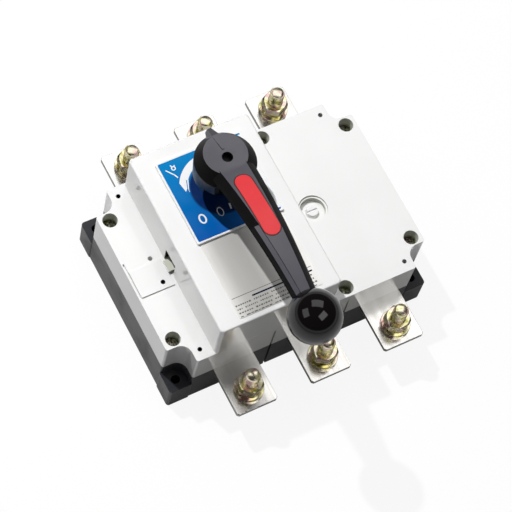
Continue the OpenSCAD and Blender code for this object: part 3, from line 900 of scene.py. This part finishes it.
class SWITCH_OT_dial(bpy.types.Operator):
    """Dial plate, its rim and its printed marks"""

    bl_idname = "switch.dial"
    bl_label = "Dial"

    def execute(self, context):
        look = settings("dial")
        rounded_copy("dial_frame", "dial_rim", "white", lambda point: 0.3 * MM)
        rounded_copy("dial_face", "dial_plate", "blue", lambda point: 0.1 * MM)
        bottom = DIAL_TOP
        top = DIAL_TOP + look.print_t
        bm = bmesh.new()
        for x, half_w, half_h, line in ((-23.9, 3.05, 4.25, 1.35), (-8.8, 2.6, 4.0, 0.85),
                                        (8.8, 2.6, 4.0, 0.85), (23.9, 3.05, 4.25, 1.35)):
            half_h *= look.figure_h / (8.5 * MM)
            cx, cy = self.spot(x, -18.9)
            band(bm, oval(cx, cy, (half_w - line) * MM, (half_h - line) * MM), oval(cx, cy, half_w * MM, half_h * MM),
                 bottom, top)
        slab(bm, stroke(self.spot(0.5, -15.4), self.spot(0.0, -20.1), 1.4 * MM), bottom, top)
        for side in (-1, 1):
            self.sector(bm, look.sector_r / MM, side, bottom, top)
            self.isolator(bm, side, bottom, top)
        margin = high("dial_face").x
        slab(bm, rectangle(margin - 1.3 * MM, SHAFT.y, 2.6 * MM, (high("dial_face").y - low("dial_face").y) * 0.96),
             bottom, top)
        printed(bm, "dial_marks", "white", "white_rim")
        return {"FINISHED"}

    def spot(self, x, y, side=-1):
        """A place on the dial, in metres, from millimetres to the left of the shaft and behind it."""
        return (SHAFT.x - side * x * MM, SHAFT.y + y * MM)

    def sector(self, bm, radius, side, bottom, top):
        """A white sickle beside the hub that ends in a straight edge, and a thin sliver along the edge of the navy
        round the hub, which is partly a printed disc and partly painted shade.
        """
        outer = [(radius * cos(radians(angle)), radius * sin(radians(angle))) for angle in range(101, 152, 2)]
        disc = HUB_PRINT_AND_SHADE_R / MM
        inner = [(disc * cos(radians(angle)), disc * sin(radians(angle))) for angle in range(143, 100, -2)]
        sickle = outer + [(-25.2, 6.3), (-23.1, 8.6), (-20.8, 15.2)] + inner
        sliver = [(-20.2, 15.0), (-22.6, 8.0), (-22.9, 4.6), (-21.9, 8.0), (-20.0, 12.4), (-18.9, 14.9)]
        for shape in (sickle, sliver):
            slab(bm, [self.spot(x, y, side) for x, y in shape], bottom, top)

    def isolator(self, bm, side, bottom, top):
        """A small ring with two tails and a bent stroke, as drawn for an open contact."""
        x, y = self.spot(-25.1, 28.0, side)
        band(bm, oval(x, y, 1.0 * MM, 1.0 * MM, 24), oval(x, y, 1.9 * MM, 1.9 * MM, 24), bottom, top)
        for start, end in (((-25.8, 29.5), (-26.4, 31.2)), ((-24.1, 29.3), (-23.3, 30.2)),
                           ((-31.5, 28.6), (-27.0, 22.9)), ((-27.1, 23.2), (-25.4, 19.6))):
            slab(bm, stroke(self.spot(*start, side), self.spot(*end, side), 0.95 * MM), bottom, top + 0.01 * MM)


class SWITCH_OT_rating_plate(bpy.types.Operator):
    """Satin silver rating plate with plain rules and dashes in place of its print"""

    bl_idname = "switch.rating_plate"
    bl_label = "Rating plate"

    def execute(self, context):
        look = settings("dial")
        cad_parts["rating_plate"].material_slots[0].material = finish("silver")
        left = low("rating_plate").x
        right = high("rating_plate").x
        front = low("rating_plate").y
        bottom = high("rating_plate").z
        top = bottom + look.print_t
        dark = bmesh.new()
        slab(dark, rectangle((left + right) / 2 + 7.5 * MM, front + 13.3 * MM, 51 * MM, 1.25 * MM), bottom, top)
        grey = bmesh.new()
        slab(grey, rectangle((left + right) / 2, front + 16.6 * MM, right - left - 3 * MM, 0.45 * MM), bottom, top)
        for row, (inset, run) in enumerate(((10.2, 1.5), (7.0, 1.1), (3.9, 1.7))):
            self.dashes(grey, left + 1.5 * MM, right - 1.5 * MM, front + inset * MM, 1.25 * MM, run, row,
                        bottom, top)
        self.dashes(grey, left + 1.2 * MM, right - 1.2 * MM, front + 1.0 * MM, 0.95 * MM, 3.1, 5, bottom, top)
        printed(dark, "rating_rule", "navy", "silver_plate")
        printed(grey, "rating_lines", "ink", "silver_plate")
        return {"FINISHED"}

    def dashes(self, bm, start, end, y, tall, run, row, bottom, top):
        """A row of short dashes of uneven length, with wider gaps now and then."""
        x = start
        count = row
        while x < end - 2.5 * MM:
            count += 1
            long = run * (0.55 + 0.45 * ((count * 7 + row * 3) % 5) / 4) * MM
            slab(bm, rectangle(x + long / 2, y, long, tall * (0.75 + 0.25 * (count % 2))), bottom, top)
            x += long + (2.6 if (count * 5 + row) % 7 == 0 else 0.7) * MM


class SWITCH_OT_terminals(bpy.types.Operator):
    """Tinned bars and their bolts, nuts and washers"""

    bl_idname = "switch.terminals"
    bl_label = "Terminals"

    def execute(self, context):
        look = settings("terminals")
        for side in SIDES:
            for pole in POLES:
                bar = rounded_copy(f"{side}_bar_{pole}", f"{side}_terminal_bar_{pole}", "tin",
                                   lambda point: look.bar_edge, segments=2)
                # Painted shade: the bars' sides are painted darker than their tops.
                paint(bar, "edge_tin", lambda at, n: n.z < 0.7)
        self.bolts(look)
        self.nuts(look)
        self.washers()
        self.spring_washers()
        return {"FINISHED"}

    def put(self, piece, kind, numbered=True):
        """Repeats a piece on the terminals and lets it stand for the CAD pieces of that kind."""
        grown(piece, "terminals", "zinc")
        if numbered:
            nodes = [f"{side}_{kind}_{pole}" for side in SIDES for pole in POLES]
        else:
            nodes = [f"{side}_{kind}" for side in SIDES]
        placed(piece, "yellow_zinc", *nodes)

    def bolts(self, look):
        """Bolts with a hexagon head below the bar and a wound thread above the nut."""
        bottom = low("front_bolt_1").z
        tip = high("front_bolt_1").z
        radius = 6.0 * MM
        root = radius - look.thread_depth * 0.75
        head_r = 10.2 * MM
        head_top = bottom + 7.5 * MM
        thread_from = high("front_nut_1").z - 1.5 * MM
        bm = bmesh.new()
        lathe(bm, [(0, head_top - 1 * MM), (root, head_top - 1 * MM), (root, tip - 1.6 * MM),
                   (root - 0.6 * MM, tip - 0.5 * MM), (root - 0.95 * MM, tip - 0.1 * MM), (root - 1.15 * MM, tip),
                   (0, tip)], 64)
        lathe(bm, [(0, bottom), (9.0 * MM, bottom), (head_r, bottom + 0.8 * MM), (head_r, head_top), (0, head_top)], 6)
        bolt = new_piece("terminal_bolts", closed_mesh(bm, "terminal_bolts"), "zinc")
        height = tip - 1.1 * MM - thread_from
        grown(bolt, "thread", "zinc", Radius=radius, Depth=look.thread_depth, Turns=height / look.thread_pitch,
              Height=height, Bottom=thread_from)
        self.put(bolt, "bolt")

    def nuts(self, look):
        """Hexagon nuts: the corners are turned off by a cone at both ends, and the bore is countersunk."""
        box = high("front_nut_1") - low("front_nut_1")
        bottom = low("front_nut_1").z
        height = box.z
        apothem = min(box.x, box.y) / 2
        corner = apothem / cos(radians(30))
        face_r = apothem - 0.25 * MM
        rise = (corner - face_r) * 0.55
        steps = look.nut_steps
        levels = [0.0] + [rise * i / 5 for i in range(1, 6)]
        levels += [height - rise * i / 5 for i in range(5, -1, -1)]
        bore = 5.45 * MM
        sink = 0.8 * MM
        turned_by = look.nut_turn
        bm = bmesh.new()
        rings = []
        for z in levels:
            from_end = min(z, height - z)
            cone = face_r + (corner - face_r) * min(1.0, from_end / rise)
            ring = []
            for i in range(steps):
                angle = 2 * pi * i / steps
                from_flat = (angle + radians(30)) % radians(60) - radians(30)
                reach = min(apothem / cos(from_flat), cone)
                ring.append(bm.verts.new((reach * cos(angle + turned_by), reach * sin(angle + turned_by), bottom + z)))
            rings.append(ring)
        for reach, z in ((bore + sink, height), (bore, height - sink), (bore, sink), (bore + sink, 0)):
            rings.append(circle(bm, reach, bottom + z, steps, turned_by))
        bridge(bm, rings + rings[:1])
        nut = new_piece("terminal_nuts", closed_mesh(bm, "terminal_nuts", 24.0), "zinc")
        self.put(nut, "nut")

    def washers(self):
        """Flat washers with softened rims."""
        bottom = low("front_washers").z
        top = high("front_washers").z
        radius = 12.0 * MM
        bore = 6.5 * MM
        soft = 0.35 * MM
        ring = [(bore, bottom), (radius - soft, bottom), (radius, bottom + soft), (radius, top - soft),
                (radius - soft, top), (bore + soft, top), (bore, top - soft), (bore, bottom)]
        self.put(turned("terminal_washers", ring, "zinc", 72), "washers", numbered=False)

    def spring_washers(self):
        """Split spring washers, flattened between washer and nut."""
        bottom = low("front_spring_washers").z
        top = high("front_spring_washers").z
        radius = 10.0 * MM
        bore = 6.5 * MM
        steps = 60
        gap = radians(7)
        slack = 0.25 * MM
        bm = bmesh.new()
        rings = []
        for i in range(steps + 1):
            angle = gap / 2 + (2 * pi - gap) * i / steps + radians(200)
            lift = slack * (i / steps)
            rings.append([bm.verts.new((reach * cos(angle), reach * sin(angle), z))
                          for reach, z in ((bore, bottom + lift), (radius, bottom + lift),
                                           (radius, top - slack + lift), (bore, top - slack + lift))])
        bridge(bm, rings)
        bm.faces.new(rings[0])
        bm.faces.new(rings[-1])
        washer = new_piece("terminal_spring_washers", closed_mesh(bm, "terminal_spring_washers"), "zinc")
        self.put(washer, "spring_washers", numbered=False)


class SWITCH_OT_handle(bpy.types.Operator):
    """Rotary handle: shaft, head, arm, inlay and ball"""

    bl_idname = "switch.handle"
    bl_label = "Handle"

    def execute(self, context):
        look = settings("handle")
        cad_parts["shaft"].material_slots[0].material = finish("steel")
        lever = rounded_copy(("handle_head", "handle_arm"), "handle_lever", "black", lambda point: look.edge, HANDLE)
        self.seam(look)
        rim_z = high("handle_head").z - 8.0 * MM
        tip_y = SHAFT.y + 19.0 * MM
        pointer_half = 6.0 * MM
        skirt_at = SHAFT.xy + Vector((0.0, 1.0)) * MM
        skirt_r = (20.0 * MM, 24.5 * MM)

        def on_pointer(at, n):
            return at.y > tip_y and at.z > rim_z and n.z > 0.2 and abs(at.x - SHAFT.x) < pointer_half

        def on_skirt(at, n):
            return abs(n.z) < 0.4 and at.z < rim_z and skirt_r[0] < (at.xy - skirt_at).length < skirt_r[1]

        # Painted shade: the flanks, the pointer's top and the skirt get darker copies of the black than the upper
        # faces.
        for material, where in (("flank", lambda at, n: n.z < 0.95), ("wedge", on_pointer), ("skirt", on_skirt)):
            paint(lever, material, where)
        rounded_copy("handle_inlay", "handle_insert", "red", lambda point: look.edge, HANDLE)
        middle = centre("handle_ball")
        radius = (high("handle_ball").x - low("handle_ball").x) / 2
        bm = bmesh.new()
        bmesh.ops.create_uvsphere(bm, u_segments=96, v_segments=48, radius=radius)
        bmesh.ops.translate(bm, verts=bm.verts, vec=middle)
        ball = new_piece("handle_knob", closed_mesh(bm, "handle_knob"), "ball")
        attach(ball, HANDLE)
        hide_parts("handle_ball")
        return {"FINISHED"}

    def seam(self, look):
        """Draws the dark seam round the inlay into the handle's upper finish."""
        material = finish("black")
        tree = material.node_tree
        shader = tree.nodes["Principled BSDF"]
        half = (high("handle_inlay").x - low("handle_inlay").x) / 2
        line = effect(material, "seam", **{"Middle": SHAFT.x, "Front": low("handle_inlay").y + half,
                                           "Back": high("handle_inlay").y - half, "Half Width": half + 0.25 * MM,
                                           "Line": look.seam})
        plain = shader.inputs["Base Color"].links[0].from_socket
        feed(tree, shader, {"Base Color": blend(tree, line.outputs["Seam"], plain, look.flank_black)})


# Stage


class SWITCH_OT_stage(bpy.types.Operator):
    """Pale floor, soft lamps and the camera"""

    bl_idname = "switch.stage"
    bl_label = "Stage"

    def execute(self, context):
        look = settings("studio")
        self.floor(look)
        self.world(context.scene, look)
        self.lamp("key_lamp", (-0.23, 0.47, 0.86), 2.2, (0.05, 0.05), look.key_power, False)
        for name, direction, size, share in (("back_box", (0.255, 0.4, 0.88), (1.5, 1.1), 1.0),
                                             ("left_box", (-0.67, 0.21, 0.71), (1.15, 0.85), 0.9),
                                             ("right_box", (0.205, -0.47, 0.86), (1.15, 0.8), 1.3)):
            power = look.box_level * share * pi * size[0] * size[1]
            self.lamp(name, direction, 2.0, size, power, True)
        self.camera(context.scene, look)
        context.scene.view_settings.view_transform = "Standard"
        return {"FINISHED"}

    def floor(self, look):
        """A wide pale floor that is seen a little whiter than it is lit, and keeps its shadow."""
        bm = bmesh.new()
        bmesh.ops.create_grid(bm, x_segments=1, y_segments=1, size=4.0)
        floor = new_object("floor", made_mesh(bm, "floor"))
        material, tree, shader = new_material("pale_floor")
        path = tree.nodes.new("ShaderNodeLightPath")
        mirrored = maths(tree, "MAXIMUM", path.outputs["Is Glossy Ray"], path.outputs["Is Transmission Ray"])
        seen = maths(tree, "MAXIMUM", path.outputs["Is Camera Ray"], mirrored)
        seen = maths(tree, "SUBTRACT", seen, maths(tree, "MULTIPLY", mirrored, 0.3))
        feed(tree, shader, {"Base Color": blend(tree, seen, (0.22, 0.22, 0.22), (0.95, 0.95, 0.95)),
                            "Roughness": 0.9, "Specular IOR Level": 0.0})
        faint = maths(tree, "MULTIPLY", mirrored, look.floor_mirrored)
        share = maths(tree, "MULTIPLY_ADD", path.outputs["Is Camera Ray"], look.floor_glow, faint)
        glow = add_node(tree, "ShaderNodeEmission", {"Color": (1.0, 1.0, 1.0, 1.0), "Strength": 1.0})
        mix = add_node(tree, "ShaderNodeMixShader", {0: share, 1: shader.outputs[0], 2: glow.outputs[0]})
        tree.links.new(mix.outputs[0], tree.nodes["Material Output"].inputs["Surface"])
        floor.data.materials.append(material)

    def world(self, scene, look):
        """A dim studio with a pale sweep near the horizon."""
        world = bpy.data.worlds.new("studio_world")
        scene.world = world
        world.use_nodes = True
        tree = world.node_tree
        shade = tree.nodes["Background"]
        direction = tree.nodes.new("ShaderNodeTexCoord").outputs["Generated"]
        height = add_node(tree, "ShaderNodeSeparateXYZ", {"Vector": direction}).outputs["Z"]
        level = mapped(tree, height, 0.45, look.world_level, (sin(radians(5)), sin(radians(11))), True)
        feed(tree, shade, {"Strength": level, "Color": (1.0, 1.0, 1.0, 1.0)})

    def lamp(self, name, direction, distance, size, power, in_reflections):
        """A rectangular lamp that points at the switch. A soft box is given its power as radiance by pi by area."""
        data = bpy.data.lights.new(name, "AREA")
        data.shape = "RECTANGLE"
        data.size, data.size_y = size
        data.energy = power
        lamp = new_object(name, data)
        aim = Vector((0, 0, 0.08))
        lamp.location = aim + Vector(direction).normalized() * distance
        lamp.rotation_euler = (aim - lamp.location).to_track_quat("-Z", "Y").to_euler()
        lamp.visible_camera = False
        lamp.visible_glossy = in_reflections

    def camera(self, scene, look):
        """A long lens high over the front left corner, turned a little."""
        data = bpy.data.cameras.new("camera")
        data.lens = look.lens
        data.sensor_width = 36.0
        camera = new_object("camera", data)
        level = cos(look.elevation)
        back = Vector((sin(look.azimuth) * level, -cos(look.azimuth) * level, sin(look.elevation)))
        right = (-back).cross(Vector((0, 0, 1))).normalized()
        up = right.cross(-back)
        turned_right = right * cos(look.roll) + up * sin(look.roll)
        turned_up = up * cos(look.roll) - right * sin(look.roll)
        axes = Matrix((turned_right, turned_up, back)).transposed()
        camera.matrix_world = Matrix.Translation(Vector(look.target) + back * look.distance) @ axes.to_4x4()
        scene.camera = camera


class SWITCH_PT_panel(bpy.types.Panel):
    """The pieces of the changeover switch"""

    bl_idname = "SWITCH_PT_panel"
    bl_label = "Changeover switch"
    bl_space_type = "VIEW_3D"
    bl_region_type = "UI"
    bl_category = "Changeover Switch"

    def draw(self, context):
        column = self.layout.column()
        for operator in OPERATORS:
            column.operator(operator.bl_idname)
        for kind in SETTINGS:
            box = self.layout.box()
            box.label(text=kind.capitalize())
            group = settings(kind)
            for name in group.bl_rna.properties.keys():
                if name not in ("rna_type", "name"):
                    box.prop(group, name)


OPERATORS = (SWITCH_OT_stage, SWITCH_OT_housing, SWITCH_OT_screws, SWITCH_OT_dial, SWITCH_OT_rating_plate,
             SWITCH_OT_terminals, SWITCH_OT_handle)
SETTINGS = {"housing": HousingSettings, "dial": DialSettings, "handle": HandleSettings,
            "terminals": TerminalSettings, "studio": StudioSettings}


def register():
    """Registers the settings, the operators and the panel."""
    for kind, group in SETTINGS.items():
        bpy.utils.register_class(group)
        setattr(bpy.types.Scene, "switch_" + kind, PointerProperty(type=group))
    for operator in OPERATORS:
        bpy.utils.register_class(operator)
    bpy.utils.register_class(SWITCH_PT_panel)


def unregister():
    """Takes back what register did."""
    bpy.utils.unregister_class(SWITCH_PT_panel)
    for operator in reversed(OPERATORS):
        bpy.utils.unregister_class(operator)
    for kind, group in SETTINGS.items():
        delattr(bpy.types.Scene, "switch_" + kind)
        bpy.utils.unregister_class(group)


def main():
    """Builds the whole switch."""
    register()
    for operator in OPERATORS:
        name = operator.bl_idname.split(".")[1]
        getattr(bpy.ops.switch, name)()


if __name__ == "__main__":
    main()
